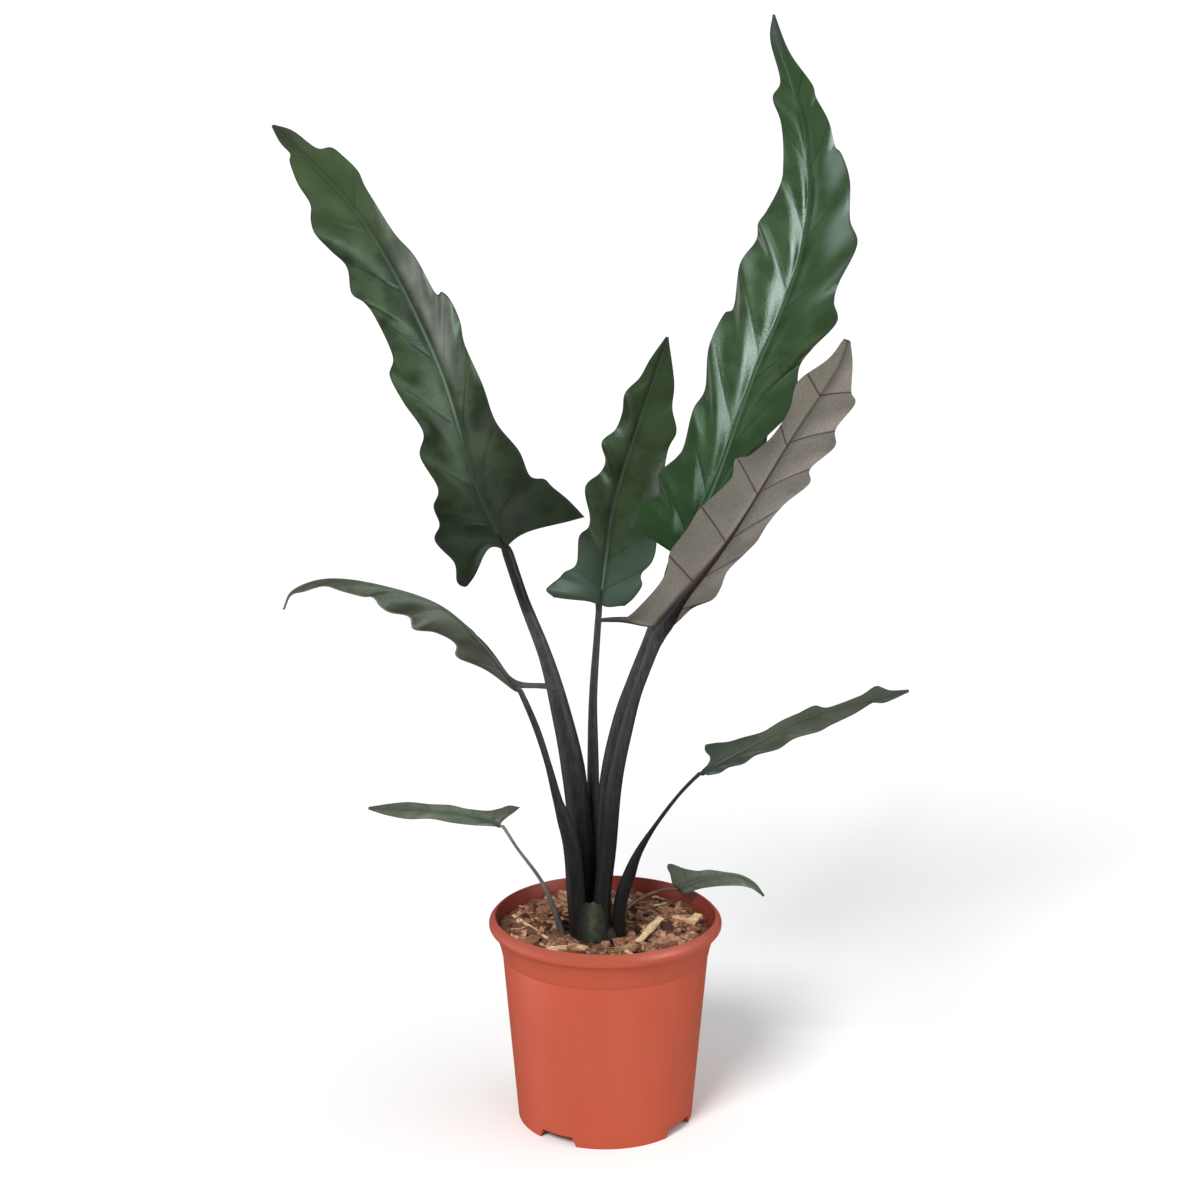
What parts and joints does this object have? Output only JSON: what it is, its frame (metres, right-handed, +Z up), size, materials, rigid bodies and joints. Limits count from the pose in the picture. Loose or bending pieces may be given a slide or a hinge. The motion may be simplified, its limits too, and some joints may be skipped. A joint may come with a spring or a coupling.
{
  "type": "potted alocasia lauterbachiana house plant",
  "caption": "Upright aroid house plant with long narrow arrow-shaped leaves with waved edges on dark stalks, growing from bark mix in a round tapered nursery pot.",
  "frame": {"origin": "middle of the flat base of the pot, on the surface the pot stands on", "axes": "+Z up along the pot's axis and the plant's height, -Y towards the front of the plant, +X to its right"},
  "size_m": [0.3297, 0.2296, 0.5692],
  "materials": {
    "pot_plastic": "injection moulded terracotta-red polypropylene, satin",
    "bark_mix": "loose dry bark and coco chips, rough and matt",
    "crown_tissue": "olive-green fleshy leaf bases, satin",
    "stalk_tissue": "smooth charcoal-purple leaf stalks, satin",
    "leaf_blade": "leathery dark green leaf with a glossy upper side, pressed side veins and a pale midrib",
    "leaf_underside": "leathery leaf seen from its matt mauve-grey underside, with dark raised veins"
  },
  "bodies": {
    "root": {"pot": "pot_plastic", "potting_mix": "bark_mix", "crown": "crown_tissue", "stalk_back_left": "stalk_tissue", "blade_back_left": "leaf_blade", "stalk_back_right": "stalk_tissue", "blade_back_right": "leaf_blade", "stalk_front_right": "stalk_tissue", "blade_front_right": "leaf_underside", "stalk_back_middle": "stalk_tissue", "blade_back_middle": "leaf_blade", "stalk_front_left": "stalk_tissue", "blade_front_left": "leaf_blade", "stalk_low_left": "stalk_tissue", "blade_low_left": "leaf_blade", "stalk_low_right": "stalk_tissue", "blade_low_right": "leaf_blade", "stalk_lowest_right": "stalk_tissue", "blade_lowest_right": "leaf_blade"}
  },
  "joints": []
}
